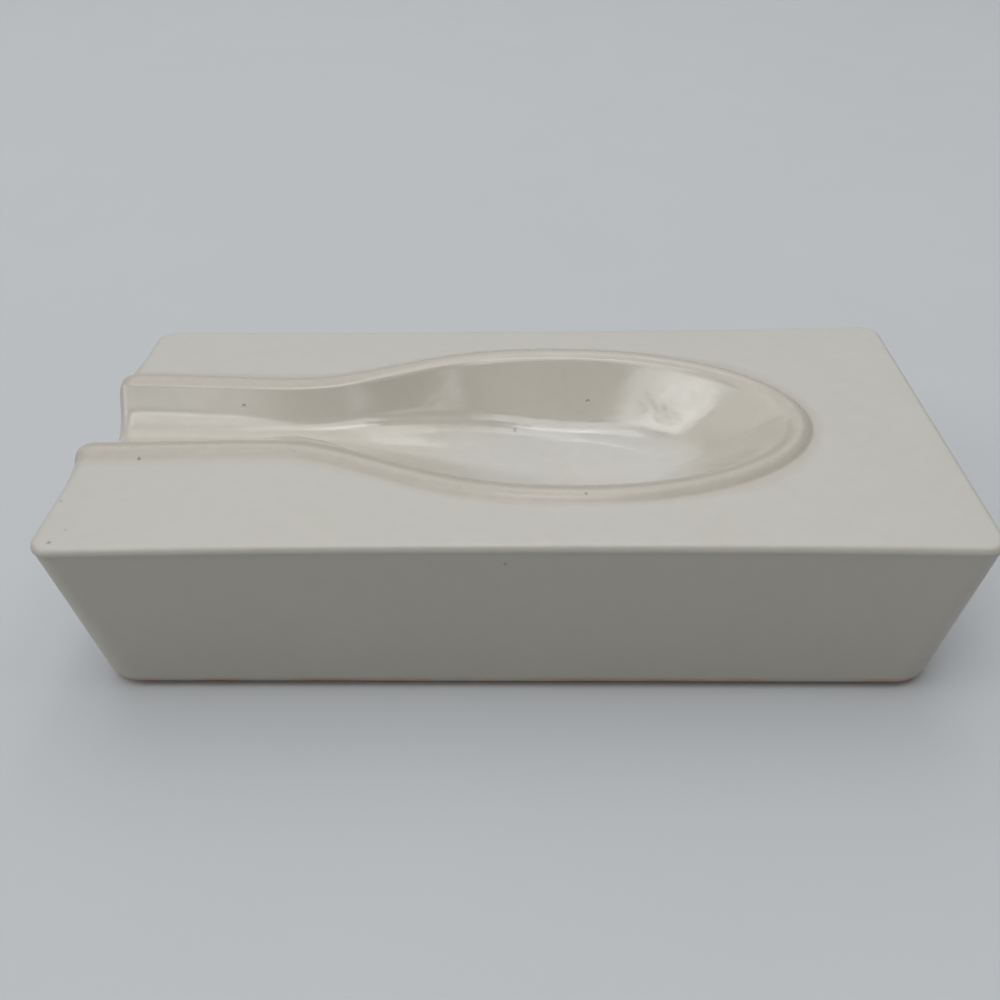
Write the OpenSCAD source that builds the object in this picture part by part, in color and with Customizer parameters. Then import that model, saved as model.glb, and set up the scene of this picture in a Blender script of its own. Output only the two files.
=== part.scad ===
// Ceramic spoon rest: a hollow cast block with a raised, spoon-shaped rim round a deep recess.
// It stands on the table at z = 0, and the whole part with its lip is centred on x = 0 and y = 0.
// The recess runs along x: its handle channel opens through the low x end, its bowl is near the high x end.

/* [Block] */
// Length of the top plate
plate_l = 210; // [190:1:230]
// Width of the top plate at its ends
plate_w = 104; // [98:1:124]
// Height of the top plate above the table
plate_h = 46.5; // [38:0.5:60]
// Corner radius of the top plate, seen from above
plate_corner_r = 5.5; // [4:0.5:8]
// How far each long side is drawn in at the middle of the top edge
side_bow = 1.5; // [0:0.1:3]
// How far each side leans in from the top edge to the base
side_taper = 4.8; // [0:0.1:8]
// Corner radius of the base, seen from above
base_corner_r = 10; // [8:0.5:16]
// Rounding of the top edge
edge_round = 1.8; // [1:0.1:3]
// Rounding of the bottom edge
base_round = 4; // [3.5:0.25:6]

/* [Recess] */
// Widest place of the bowl, measured from the middle of the block
bowl_x = 14; // [8:1:20]
// Half the width of the bowl, to the top of the rim
bowl_half_w = 33.2; // [28:0.2:36]
// Reach of the bowl from its widest place to the top of the rim at its tip
bowl_reach = 57; // [50:1:62]
// Depth of the bowl under the top plate
bowl_depth = 16; // [12:0.5:20]
// Place of the neck, measured from the middle of the block
neck_x = -58; // [-64:1:-50]
// Half the width of the neck, to the top of the rim
neck_half_w = 15.7; // [13:0.1:18]
// Half the width of the open mouth of the channel, to the top of the rim
mouth_half_w = 17.4; // [14:0.1:20]
// Depth of the handle channel under the top plate
channel_depth = 8.6; // [7:0.2:11]
// Place where the channel's floor starts to run down, measured from the middle of the block
run_x = -64; // [-68:1:-56]
// Length over which the floor runs down from there to the full depth of the bowl
floor_run = 82; // [72:1:86]
// How far the channel's floor line lies to the far side of the recess's middle line
floor_skew = 2; // [0:0.25:4]
// Length over which the fold in the channel's far wall turns into the foot of the bowl's wall
fold_run = 18; // [14:1:24]
// Length over which the near wall's shoulder dies out, from the neck toward the bowl
shoulder_run = 20; // [14:1:28]
// Sideways place of the bowl's middle on the plate
recess_y = 1.2; // [-3:0.1:3]
// Sideways run of the recess's middle line from the bowl to the open mouth
recess_skew = 3.1; // [-4:0.1:4]

/* [Rim] */
// Height of the raised rim above the top plate
rim_h = 1.6; // [0.8:0.1:2.5]
// Width of the rim from its top to its outer foot
rim_outer_w = 3.4; // [2.5:0.1:4.5]
// Width of the rim from its top to the recess wall
rim_inner_w = 3.2; // [2.5:0.1:4]
// Drop of the rim from its top to the recess wall
rim_inner_drop = 0.9; // [0.4:0.1:1.5]
// How far the lip of the open mouth stands out of the end face
lip_out = 2.3; // [0:0.1:3]
// How far the lip of the open mouth reaches down the end face
lip_down = 6; // [4:0.5:8]
// Length along the end over which that lip fades, from the top of the rim
lip_fade = 16; // [10:1:20]
// Rounding of the end edge in the open mouth
mouth_round = 3.4; // [2:0.2:4.4]

/* [Shell] */
// Thickness of the glaze
glaze_t = 0.4; // [0.3:0.05:0.6]
// Wall of the fired clay shell
wall_t = 5; // [4:0.25:6]
// Height of the dry, unglazed foot
dry_foot_h = 1.4; // [0.8:0.1:3]
// Width of the flat foot ring under the base
foot_ring_w = 9; // [6:0.5:14]
// Depth of the hollow inside the foot ring
foot_hollow = 0.8; // [0.4:0.1:1.5]
// Diameter of the pour hole in the base
pour_hole_d = 15; // [8:1:22]

/* [Hidden] */

// Overrun of cuts, and the short step over which a slope is measured
over = 1;
// Least corner radius of the hollow inside
least_r = 1;

half_l = plate_l / 2;
half_w = plate_w / 2;
// Shift that puts the middle of the whole length, lip included, at x = 0
mid_shift = lip_out / 2;

// Shares of the way from the floor line out to the rim's inner foot: how far the floor's bend reaches,
// where the wall folds up from it, and the reach of that fold's bend
floor_bend_share = 0.2;
mouth_fold_share = 0.61;
neck_fold_share = 0.47;
bowl_fold_share = 0.55;
channel_crease_share = 0.08;
bowl_crease_share = 0.12;
// Slope below the fold, as a share of the wall's slope above it
near_floor_share = 1;
far_floor_share = 0.63;
neck_floor_share = 0.5;
bowl_floor_share = 0.07;
// Shoulder of the near wall at the neck: where it starts, the reach of its bend, and its slope
shoulder_share = 0.45;
shoulder_bend_share = 0.1;
shoulder_slope_share = 0.3;
// Power of the curve from the neck to the bowl's widest place
neck_curve_share = 1.36;
// Power of the bow in the long sides
bow_curve_share = 2.5;

// Counts of steps round the top: corner arcs, channel side, bowl side, end
arc_steps = 4;
channel_steps = 14;
bowl_steps = 7;
end_steps = 10;

// Rows across the top, from the middle line of the recess out to the edge
wall_row_shares = [0.2, 0.36, 0.47, 0.58, 0.7, 0.85, 1];
rim_in_shares = [0.62, 0.28, 0];
rim_out_shares = [0.3, 0.6, 1.05];
plate_row_shares = [0.2, 0.5];
edge_row_shares = [1.1, 0.5, 0.18, 0];

n_wall = len(wall_row_shares);
n_in = len(rim_in_shares);
n_out = len(rim_out_shares);
n_plate = len(plate_row_shares);
n_edge = len(edge_row_shares);
rows = n_wall + n_in + n_out + n_plate + n_edge;
foot_row = n_wall + n_in + n_out;

// Rows down the walls, as shares of the lip's reach and of the bottom edge's rounding
lip_row_shares = [0.25, 0.6, 1];
base_row_shares = [1, 0.6, 0.25, 0.06, 0];
dry_row_shares = [1, 0.45, 0];

// Grids over the top: every how many columns, and which rows
fine_grid = [1, [for (j = [1 : rows]) j]];
hollow_grid = [2, [2, 4, n_wall, n_wall + n_in, foot_row, foot_row + n_plate, foot_row + n_plate + 1, rows]];

function clamp01(v) = min(max(v, 0), 1);
function ease(v) = (1 - cos(180 * clamp01(v))) / 2;
function mix(a, b, share) = a + (b - a) * share;
function unit(v) = v / norm(v);

// Middle line of the recess across the plate
function mid_y(x) = recess_y + recess_skew * (bowl_x - x) / (bowl_x + half_l);

// Half width of the recess to the top of the rim, from the mouth to the bowl's widest place
function rim_half(x) = x < neck_x
    ? mix(neck_half_w, mouth_half_w, ease((neck_x - x) / (neck_x + half_l)))
    : mix(bowl_half_w, neck_half_w, ease(pow(clamp01((bowl_x - x) / (bowl_x - neck_x)), neck_curve_share)));

// Line of the floor, measured across from the middle line
function floor_y(x) = floor_skew * ease((bowl_x - x) / (bowl_x - neck_x));

// Nothing before a place, a straight rise after it, and a bend of this reach between them
function turned_up(v, at, reach) = v > at + reach ? v - at : pow(max(v - at + reach, 0), 2) / (4 * reach);

// How far the floor has run down toward the bowl
function run_share(x) = ease((x - run_x) / floor_run);

// Section of the wall at x: slope below the fold, place of the fold, reach of its bend,
// place of the shoulder and how much it eases the slope off
function section(x, far) =
    let (bowl = ease((x - neck_x) / shoulder_run), neck = ease((x - neck_x) / fold_run + 1),
         gentle = far ? mix(far_floor_share, neck_floor_share, neck) : near_floor_share,
         fold = far ? mix(mix(mouth_fold_share, neck_fold_share, neck), bowl_fold_share, bowl) : bowl_fold_share)
    [mix(gentle, bowl_floor_share, run_share(x)), fold, mix(channel_crease_share, bowl_crease_share, bowl),
     mix(shoulder_share, 1, clamp01((x - neck_x) / shoulder_run)), far ? 0 : (1 - shoulder_slope_share) * neck];
function raw_rise(s, v) = s[0] * turned_up(v, floor_bend_share, floor_bend_share)
    + (1 - s[0]) * turned_up(v, s[1], s[2]) - s[4] * turned_up(v, s[3], shoulder_bend_share);

// Height of the recess wall over the plate, at share v of the way out to the rim's inner foot
function wall_z(x, v, far) =
    let (depth = mix(channel_depth, bowl_depth, run_share(x)), s = section(x, far))
    -depth + (depth + rim_h - rim_inner_drop) * raw_rise(s, v) / raw_rise(s, 1);

// Height of the rim over the plate, at a distance out from its top
function rim_z(d) = d < 0
    ? rim_h - rim_inner_drop * pow(d / rim_inner_w, 2)
    : rim_h * (1 - pow(clamp01(d / rim_outer_w), 2));

// Drop of an edge rounded to r, at a distance in from the outline
function edge_drop(e, r) = e >= r ? 0 : r - sqrt(r * r - pow(r - max(e, 0), 2));

// How much of the mouth's lip a place on the low end carries
function lip_share(q) = 1 - ease((abs(q[1] - mid_y(q[0])) - rim_half(q[0])) / lip_fade);

// Points of an outline with rounded corners and bowed long sides.
// Each place is [side, share]: 0 near low corner, 1 near side, 2 near high corner, 3 high end,
// 4 far high corner, 5 far side, 6 far low corner.
function bowed(x, a, bow) = bow * (1 - pow(min(abs(x) / a, 1), bow_curve_share));
function side_x(share, a, r) = share < 0.5
    ? mix(r - a, bowl_x, share * 2)
    : mix(bowl_x, a - r, share * 2 - 1);
function corner(cx, cy, r, turn) = [cx + r * cos(turn), cy + r * sin(turn)];
function outline_raw(p, a, b, r) =
    p[0] == 0 ? corner(r - a, r - b, r, 180 + 90 * p[1]) :
    p[0] == 1 ? [side_x(p[1], a, r), -b] :
    p[0] == 2 ? corner(a - r, r - b, r, 270 + 90 * p[1]) :
    p[0] == 3 ? [a, mix(r - b, b - r, p[1])] :
    p[0] == 4 ? corner(a - r, b - r, r, 90 * p[1]) :
    p[0] == 5 ? [side_x(1 - p[1], a, r), b] :
    corner(r - a, b - r, r, 90 + 90 * p[1]);
function outline(p, a, b, r, bow) =
    let (q = outline_raw(p, a, b, r))
    [q[0], q[1] - sign(q[1]) * bowed(q[0], a, bow)];

// Distance of a point in from the outline
function inset_of(q, a, b, r, bow) =
    let (u = abs(q[0]) - (a - r), v = abs(q[1]) + bowed(q[0], a, bow) - (b - r))
    u > 0 && v > 0 ? r - norm([u, v]) : r - max(u, v);

function steps(side, first, last, n) = [for (i = [0 : n - 1]) [side, mix(first, last, i / n)]];

// Places of the columns, round the top from the near low corner to the far low corner
near_places = concat(steps(0, 0, 1, arc_steps), steps(1, 0, 0.5, channel_steps));
tip_places = concat(steps(1, 0.5, 1, bowl_steps), steps(2, 0, 1, arc_steps), steps(3, 0, 1, end_steps),
    steps(4, 0, 1, arc_steps), steps(5, 0, 0.5, bowl_steps));
far_places = concat(steps(5, 0.5, 1, channel_steps), steps(6, 0, 1, arc_steps), [[6, 1]]);
places = concat(near_places, tip_places, far_places);
cols = len(places);
n_near = len(near_places);
n_tip = len(tip_places);

// A column is straight across in the channel, and runs out from the bowl's middle round the tip
function is_tip(c) = c >= n_near && c <= n_near + n_tip;
function col_side(c) = c < n_near ? -1 : 1;

// Half sizes, corner radius and bow of the block at a height, for a skin that lies inside the surface.
// The floor is the height at which that skin's rounded bottom edge ends.
function lean(z) = side_taper * (plate_h - z) / plate_h;
function base_in(z, floor) = z >= floor + base_round ? 0
    : base_round - sqrt(base_round * base_round - pow(base_round - (z - floor), 2));
function sizes_at(skin, z, floor) =
    let (low = lean(z) + base_in(z, floor), up = z / plate_h)
    [half_l - skin - low, half_w - skin - low,
     max(mix(base_corner_r, plate_corner_r, up) - skin - base_in(z, floor), least_r), side_bow * up];
function top_sizes(skin) = [half_l - skin, half_w - skin, max(plate_corner_r - skin, least_r), side_bow];
function place_xy(p, sizes, e) =
    outline(p, sizes[0] - e, sizes[1] - e, max(sizes[2] - e, least_r), sizes[3]);

// Top of the rim for a column that ends at q on the outline, and the way out from it
function tip_turn(q) = atan2(q[1] / bowl_half_w, (q[0] - bowl_x) / bowl_reach);
function crest(c, q) = is_tip(c)
    ? let (t = tip_turn(q)) [bowl_x + bowl_reach * cos(t), bowl_half_w * sin(t)]
    : [q[0], col_side(c) * rim_half(q[0])];
function rim_slope(x) = (rim_half(x + over) - rim_half(x - over)) / (2 * over);
function crest_out(c, q) = is_tip(c)
    ? let (t = tip_turn(q)) unit([cos(t) / bowl_reach, sin(t) / bowl_half_w])
    : unit([-rim_slope(q[0]), col_side(c)]);
function on_middle(q) = [q[0], q[1] + mid_y(q[0])];

// Each row of a column: its plan place, and its height over the plate before the edge is rounded
function wall_row(c, q, share) =
    let (top = crest(c, q), foot = top - rim_inner_w * crest_out(c, q),
         start = is_tip(c) ? [bowl_x, 0] : [q[0], floor_y(q[0])], p = mix(start, foot, share))
    [on_middle(p), wall_z(p[0], share, top[1] > 0)];
function rim_row(c, q, d) = [on_middle(crest(c, q) + d * crest_out(c, q)), rim_z(d)];
function edge_row(c, q, sizes, e) =
    [is_tip(c) ? place_xy(places[c], sizes, e) : [q[0], q[1] - sign(q[1]) * e], 0];
function plate_row(c, q, sizes, share) = mix(rim_row(c, q, rim_outer_w * rim_out_shares[n_out - 1]),
    edge_row(c, q, sizes, edge_round * edge_row_shares[0]), share);
function row_of(c, q, sizes, j) =
    j <= n_wall ? wall_row(c, q, j == 0 ? 0 : wall_row_shares[j - 1]) :
    j <= n_wall + n_in ? rim_row(c, q, -rim_inner_w * rim_in_shares[j - 1 - n_wall]) :
    j <= foot_row ? rim_row(c, q, rim_outer_w * rim_out_shares[j - 1 - n_wall - n_in]) :
    j <= foot_row + n_plate ? plate_row(c, q, sizes, plate_row_shares[j - 1 - foot_row]) :
    edge_row(c, q, sizes, edge_round * edge_row_shares[j - 1 - foot_row - n_plate]);

// A point of the top: the edge rounds over, and the mouth's lip stands out of the leaning end face
function settle(row, sizes, skin) =
    let (q = row[0], e = inset_of(q, sizes[0], sizes[1], sizes[2], sizes[3]), lip = lip_share(q),
         r = q[0] < 0 ? mix(edge_round, mouth_round, lip) : edge_round,
         z = plate_h + row[1] - edge_drop(e, r) - skin, near_end = 1 - ease((q[0] + sizes[0]) / lip_down))
    [q[0] + near_end * (lean(z) - lip_out * lip), q[1], z];
function top_point(c, j, skin) =
    let (sizes = top_sizes(skin), q = place_xy(places[c], sizes, 0))
    settle(row_of(c, q, sizes, j), sizes, skin);

// Numbering of a grid: column c and row j of the grid, with row 0 on the recess's middle line
function g_col(g, c) = c * g[0];
function g_row(g, j) = j == 0 ? 0 : g[1][j - 1];
function g_cols(g) = (cols - 1) / g[0] + 1;
function g_rows(g) = len(g[1]);
function g_near(g) = n_near / g[0];
function g_spine(g, c) = let (at = g_col(g, c)) at <= n_near ? c : is_tip(at) ? g_near(g) : g_cols(g) - 1 - c;
function g_index(g, c, j) = j == 0 ? g_spine(g, c) : g_near(g) + 1 + c * g_rows(g) + j - 1;
function g_count(g) = g_near(g) + 1 + g_cols(g) * g_rows(g);

// Border of a grid: round the block from the near low corner, and back along the low end
function g_border(g) = let (last = g_cols(g) - 1, r = g_rows(g))
    concat([for (c = [0 : last]) [c, r]], [for (j = [1 : r]) [last, r - j]], [for (j = [1 : r - 1]) [0, j]]);
function ring_index(g, border, i, k) = let (n = len(border), at = border[i % n])
    k == 0 ? g_index(g, at[0], at[1]) : g_count(g) + (k - 1) * n + i % n;

// Points of the walls under a border, at a height, with an inset on the base
function border_xy(g, at, skin, z, floor, e) =
    let (s = sizes_at(skin, z, floor), t = top_sizes(skin))
    at[1] == g_rows(g) ? place_xy(places[g_col(g, at[0])], s, e)
    : [e - s[0], top_point(g_col(g, at[0]), g_row(g, at[1]), skin)[1]
        * (s[1] - e - max(s[2] - e, least_r)) / (t[1] - t[2])];
function lip_point(g, at, skin, share) =
    let (c = g_col(g, at[0]), j = g_row(g, at[1]), t = top_sizes(skin),
         carried = lip_share(row_of(c, place_xy(places[c], t, 0), t, j)[0]),
         z = top_point(c, j, skin)[2] - lip_down * share, q = border_xy(g, at, skin, z, -base_round, 0))
    [q[0] - lip_out * carried * (1 - ease(share)), q[1], z];
function level_point(g, at, skin, z, floor, e) =
    let (q = border_xy(g, at, skin, min(z, floor + base_round), floor, e)) [q[0], q[1], z];

function top_points(g, skin) = concat(
    [for (c = [0 : g_near(g)]) top_point(g_col(g, c), 0, skin)],
    [for (c = [0 : g_cols(g) - 1]) for (j = g[1]) top_point(g_col(g, c), j, skin)]);
function wall_points(g, border, skin, heights, floor) = concat(
    [for (s = lip_row_shares) for (at = border) lip_point(g, at, skin, s)],
    [for (z = heights) for (at = border) level_point(g, at, skin, z, floor, 0)]);

// Faces, each turned clockwise as seen from outside
function quad(a, b, c, d) = a == b ? [[a, c, d]] : [[a, b, c], [a, c, d]];
function top_faces(g, first, last) = [for (c = [0 : g_cols(g) - 2]) for (j = [first : last - 1])
    each quad(g_index(g, c, j), g_index(g, c + 1, j), g_index(g, c + 1, j + 1), g_index(g, c, j + 1))];
function ring_faces(g, border, levels) = [for (k = [0 : levels - 1]) for (i = [0 : len(border) - 1])
    each quad(ring_index(g, border, i, k), ring_index(g, border, i + 1, k),
        ring_index(g, border, i + 1, k + 1), ring_index(g, border, i, k + 1))];
function shift(list, n) = [for (f = list) [for (v = f) v + n]];
function turned(list) = [for (f = list) [for (v = [len(f) - 1 : -1 : 0]) f[v]]];

// The fired clay: the outer surface, the foot ring, the pour hole and the hollow inside, as one shell
module clay_body() {
    g = fine_grid;
    h = hollow_grid;
    border = g_border(g);
    rim = g_border(h);
    n = len(border);
    m = len(rim);
    skin = glaze_t + wall_t;
    outer = concat(top_points(g, glaze_t),
        wall_points(g, border, glaze_t, [for (s = base_row_shares) base_round * s], 0),
        [for (at = border) level_point(g, at, glaze_t, 0, 0, foot_ring_w)],
        [for (at = border) let (q = border_xy(g, at, glaze_t, 0, 0, foot_ring_w + foot_hollow))
            [q[0], q[1], foot_hollow]]);
    inner = concat(top_points(h, skin),
        wall_points(h, rim, skin, [for (s = base_row_shares) wall_t + base_round * s], wall_t));
    hole = [for (z = [foot_hollow, wall_t]) for (at = rim)
        let (q = pour_hole_d / 2 * unit(border_xy(h, at, skin, wall_t, wall_t, 0))) [q[0], q[1], z]];
    outer_levels = len(lip_row_shares) + len(base_row_shares) + 2;
    inner_levels = outer_levels - 2;
    first_inner = len(outer);
    first_hole = first_inner + len(inner);
    base_ring = [for (i = [0 : n]) ring_index(g, border, i, outer_levels)];
    floor_ring = [for (i = [0 : m]) first_inner + ring_index(h, rim, i, inner_levels)];
    low = [for (i = [0 : m]) first_hole + i % m];
    high = [for (v = low) v + m];
    // Which corner of the hole goes with each corner of the base ring
    met = [for (i = [0 : n]) i == n ? m : met_corner(border[i], rim)];
    color([0.74, 0.42, 0.27])
    translate([mid_shift, 0, 0])
    polyhedron(points = concat(outer, inner, hole), convexity = 8, faces = concat(
        top_faces(g, 0, rows),
        ring_faces(g, border, outer_levels),
        shift(turned(concat(top_faces(h, 0, g_rows(h)), ring_faces(h, rim, inner_levels))), first_inner),
        [for (i = [0 : n - 1]) each concat([[base_ring[i], base_ring[i + 1], low[met[i]]]],
            met[i + 1] > met[i] ? [[base_ring[i + 1], low[met[i + 1]], low[met[i]]]] : [])],
        [for (i = [0 : m - 1]) each quad(low[i], low[i + 1], high[i + 1], high[i])],
        [for (i = [0 : m - 1]) each quad(high[i], high[i + 1], floor_ring[i + 1], floor_ring[i])]));
}

// Last corner of the coarse border at or before a corner of the fine border
function fine_at(at) = [g_col(hollow_grid, at[0]), g_row(hollow_grid, at[1])];
function along(at) = at[1] == rows ? at[0] : at[0] > 0 ? cols + rows - at[1] : cols + rows + at[1];
function met_corner(at, rim) = len([for (r = rim) if (along(fine_at(r)) <= along(at)) r]) - 1;

// A thin shell between two skins: the faces, and the borders that close it, each turned like the faces
function border_faces(loop, n) = [for (i = [0 : len(loop) - 1])
    let (a = loop[i], b = loop[(i + 1) % len(loop)]) each quad(a, b, b + n, a + n)];
module skin_shell(outer, inner, faces, loops) {
    n = len(outer);
    translate([mid_shift, 0, 0])
    polyhedron(points = concat(outer, inner), convexity = 8,
        faces = concat(faces, shift(turned(faces), n), [for (l = loops) each border_faces(l, n)]));
}

// Border of the hollow's glaze: the rim's outer foot, closed along the open mouth
hollow_border = let (g = fine_grid) concat(
    [for (c = [0 : cols - 1]) g_index(g, c, foot_row)],
    [for (j = [1 : foot_row]) g_index(g, cols - 1, foot_row - j)],
    [for (j = [1 : foot_row - 1]) g_index(g, 0, j)]);

module recess_glaze() {
    g = fine_grid;
    color([0.87, 0.86, 0.8])
    skin_shell(top_points(g, 0), top_points(g, glaze_t), top_faces(g, 0, foot_row), [hollow_border]);
}

module outer_glaze() {
    g = fine_grid;
    border = g_border(g);
    heights = [for (s = dry_row_shares) mix(dry_foot_h, base_round, s)];
    levels = len(lip_row_shares) + len(heights);
    color([0.88, 0.87, 0.83])
    skin_shell(concat(top_points(g, 0), wall_points(g, border, 0, heights, 0)),
        concat(top_points(g, glaze_t), wall_points(g, border, glaze_t, heights, 0)),
        concat(top_faces(g, foot_row, rows), ring_faces(g, border, levels)),
        [turned([hollow_border])[0], [for (i = [0 : len(border) - 1]) ring_index(g, border, i, levels)]]);
}

clay_body();
recess_glaze();
outer_glaze();
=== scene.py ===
import math

import bpy
import numpy as np
from mathutils import Matrix, Vector


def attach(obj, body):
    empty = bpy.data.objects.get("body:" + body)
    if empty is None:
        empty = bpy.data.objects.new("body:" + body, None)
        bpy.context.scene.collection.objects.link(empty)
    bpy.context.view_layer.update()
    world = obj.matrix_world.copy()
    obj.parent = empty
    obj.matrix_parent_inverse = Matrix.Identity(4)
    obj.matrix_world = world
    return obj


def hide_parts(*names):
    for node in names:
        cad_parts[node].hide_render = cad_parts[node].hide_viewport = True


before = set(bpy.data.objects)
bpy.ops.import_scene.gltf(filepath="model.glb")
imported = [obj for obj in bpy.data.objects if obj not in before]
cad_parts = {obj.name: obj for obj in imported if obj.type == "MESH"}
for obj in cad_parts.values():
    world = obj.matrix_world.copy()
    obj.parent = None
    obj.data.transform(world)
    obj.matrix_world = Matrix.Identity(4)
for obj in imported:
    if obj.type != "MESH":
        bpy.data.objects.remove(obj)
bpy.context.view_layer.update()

# Sizes of the part in millimetres, as packed
MM = 0.001
PLATE_L, PLATE_W, PLATE_H = 210.0, 104.0, 46.5
PLATE_CORNER_R, BASE_CORNER_R = 5.5, 10.0
SIDE_BOW, SIDE_TAPER = 1.5, 4.8
EDGE_ROUND, BASE_ROUND = 1.8, 4.0
BOWL_X, BOWL_HALF_W, BOWL_REACH, BOWL_DEPTH = 14.0, 33.2, 57.0, 16.0
NECK_X, NECK_HALF_W, MOUTH_HALF_W = -58.0, 15.7, 17.4
CHANNEL_DEPTH, RUN_X, FLOOR_RUN = 8.6, -64.0, 82.0
FLOOR_SKEW, FOLD_RUN, SHOULDER_RUN = 2.0, 18.0, 20.0
RECESS_Y, RECESS_SKEW = 1.2, 3.1
RIM_H, RIM_OUTER_W, RIM_INNER_W, RIM_INNER_DROP = 1.6, 3.4, 3.2, 0.9
LIP_OUT, LIP_DOWN, LIP_FADE, MOUTH_ROUND = 2.3, 6.0, 16.0, 3.4
GLAZE_T, WALL_T = 0.4, 5.0
DRY_FOOT_H, FOOT_RING_W, FOOT_HOLLOW, POUR_HOLE_D = 1.4, 9.0, 0.8, 15.0
LEAST_R = 1.0
HALF_L, HALF_W = PLATE_L / 2, PLATE_W / 2
MID_SHIFT = LIP_OUT / 2
FLOOR_BEND_SHARE = 0.2
NEAR_FLOOR_SHARE, FAR_FLOOR_SHARE, NECK_FLOOR_SHARE, BOWL_FLOOR_SHARE = 1.0, 0.63, 0.5, 0.07
MOUTH_FOLD_SHARE, NECK_FOLD_SHARE, BOWL_FOLD_SHARE = 0.61, 0.47, 0.55
CHANNEL_CREASE_SHARE, BOWL_CREASE_SHARE = 0.08, 0.12
SHOULDER_SHARE, SHOULDER_BEND_SHARE, SHOULDER_SLOPE_SHARE = 0.45, 0.1, 0.3
NECK_CURVE, BOW_CURVE = 1.36, 2.5
SLOPE_STEP = 1.0


# Form of the recess, the rim and the outline
def ease(v):
    return (1 - np.cos(np.pi * np.clip(v, 0, 1))) / 2


def mix(a, b, share):
    return a + (b - a) * share


def mid_y(x):
    return RECESS_Y + RECESS_SKEW * (BOWL_X - x) / (BOWL_X + HALF_L)


def rim_half(x):
    mouth = mix(NECK_HALF_W, MOUTH_HALF_W, ease((NECK_X - x) / (NECK_X + HALF_L)))
    run = np.clip((BOWL_X - x) / (BOWL_X - NECK_X), 0, 1) ** NECK_CURVE
    return np.where(x < NECK_X, mouth, mix(BOWL_HALF_W, NECK_HALF_W, ease(run)))


def turned_up(v, at, reach):
    """Nothing before a place, a straight rise after it, and a bend of this reach between them."""
    return np.where(v > at + reach, v - at, np.clip(v - at + reach, 0, None) ** 2 / (4 * reach))


def floor_y(x):
    return FLOOR_SKEW * ease((BOWL_X - x) / (BOWL_X - NECK_X))


def run_share(x):
    return ease((x - RUN_X) / FLOOR_RUN)


def wall_rise(x, v, far):
    """Rise from 0 on the floor's line to 1 at the rim: a gentle floor, a fold, the wall and its shoulder."""
    bowl, neck = ease((x - NECK_X) / SHOULDER_RUN), ease((x - NECK_X) / FOLD_RUN + 1)
    far_gentle = mix(FAR_FLOOR_SHARE, NECK_FLOOR_SHARE, neck)
    gentle = mix(np.where(far, far_gentle, NEAR_FLOOR_SHARE), BOWL_FLOOR_SHARE, run_share(x))
    far_fold = mix(mix(MOUTH_FOLD_SHARE, NECK_FOLD_SHARE, neck), BOWL_FOLD_SHARE, bowl)
    fold = np.where(far, far_fold, BOWL_FOLD_SHARE)
    crease = mix(CHANNEL_CREASE_SHARE, BOWL_CREASE_SHARE, bowl)
    top = mix(SHOULDER_SHARE, 1, np.clip((x - NECK_X) / SHOULDER_RUN, 0, 1))
    eased_off = np.where(far, 0, (1 - SHOULDER_SLOPE_SHARE) * neck)

    def raw(w):
        floor = gentle * turned_up(w, FLOOR_BEND_SHARE, FLOOR_BEND_SHARE)
        wall = (1 - gentle) * turned_up(w, fold, crease)
        return floor + wall - eased_off * turned_up(w, top, SHOULDER_BEND_SHARE)
    return raw(v) / raw(1 + 0 * v)


def wall_z(x, v, far):
    depth = mix(CHANNEL_DEPTH, BOWL_DEPTH, run_share(x))
    return -depth + (depth + RIM_H - RIM_INNER_DROP) * wall_rise(x, v, far)


def rim_z(d):
    outer = RIM_H * (1 - np.clip(d / RIM_OUTER_W, 0, 1) ** 2)
    return np.where(d < 0, RIM_H - RIM_INNER_DROP * (d / RIM_INNER_W) ** 2, outer)


def edge_drop(inset, r):
    return r - np.sqrt(np.maximum(r ** 2 - (r - np.clip(inset, 0, r)) ** 2, 0))


def lip_share(x, y):
    return 1 - ease((np.abs(y - mid_y(x)) - rim_half(x)) / LIP_FADE)


def bowed(x, a, bow):
    return bow * (1 - np.minimum(np.abs(x) / a, 1) ** BOW_CURVE)


def outline(side, share, a, b, r, bow):
    """Points of the rounded outline. Sides 0 to 6 run round from the near corner at low x to the far one."""
    turn = {0: 180, 2: 270, 4: 0, 6: 90}
    x, y = np.zeros_like(share + a), np.zeros_like(share + a)
    for s in range(7):
        if s in turn:
            angle = np.radians(turn[s] + 90 * share)
            sx = (r - a if s in (0, 6) else a - r) + r * np.cos(angle)
            sy = (r - b if s in (0, 2) else b - r) + r * np.sin(angle)
        elif s == 3:
            sx, sy = a + 0 * share, mix(r - b, b - r, share)
        else:
            along = share if s == 1 else 1 - share
            sx = np.where(along < 0.5, mix(r - a, BOWL_X, along * 2), mix(BOWL_X, a - r, along * 2 - 1))
            sy = (-b if s == 1 else b) + 0 * share
        x, y = np.where(side == s, sx, x), np.where(side == s, sy, y)
    return x, y - np.sign(y) * bowed(x, a, bow)


def inset_of(x, y, a, b, r, bow):
    u, v = np.abs(x) - (a - r), np.abs(y) + bowed(x, a, bow) - (b - r)
    return np.where((u > 0) & (v > 0), r - np.hypot(u, v), r - np.maximum(u, v))


def lean(z):
    return SIDE_TAPER * (PLATE_H - z) / PLATE_H


def base_in(z, floor):
    up = np.clip(BASE_ROUND - (z - floor), 0, BASE_ROUND)
    return BASE_ROUND - np.sqrt(BASE_ROUND ** 2 - up ** 2)


def sizes_at(skin, z, floor):
    """Half length, half width, corner radius and bow of the outline at a height."""
    low, up = lean(z) + base_in(z, floor), z / PLATE_H
    r = np.maximum(mix(BASE_CORNER_R, PLATE_CORNER_R, up) - skin - base_in(z, floor), LEAST_R)
    return HALF_L - skin - low, HALF_W - skin - low, r, SIDE_BOW * up


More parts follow.
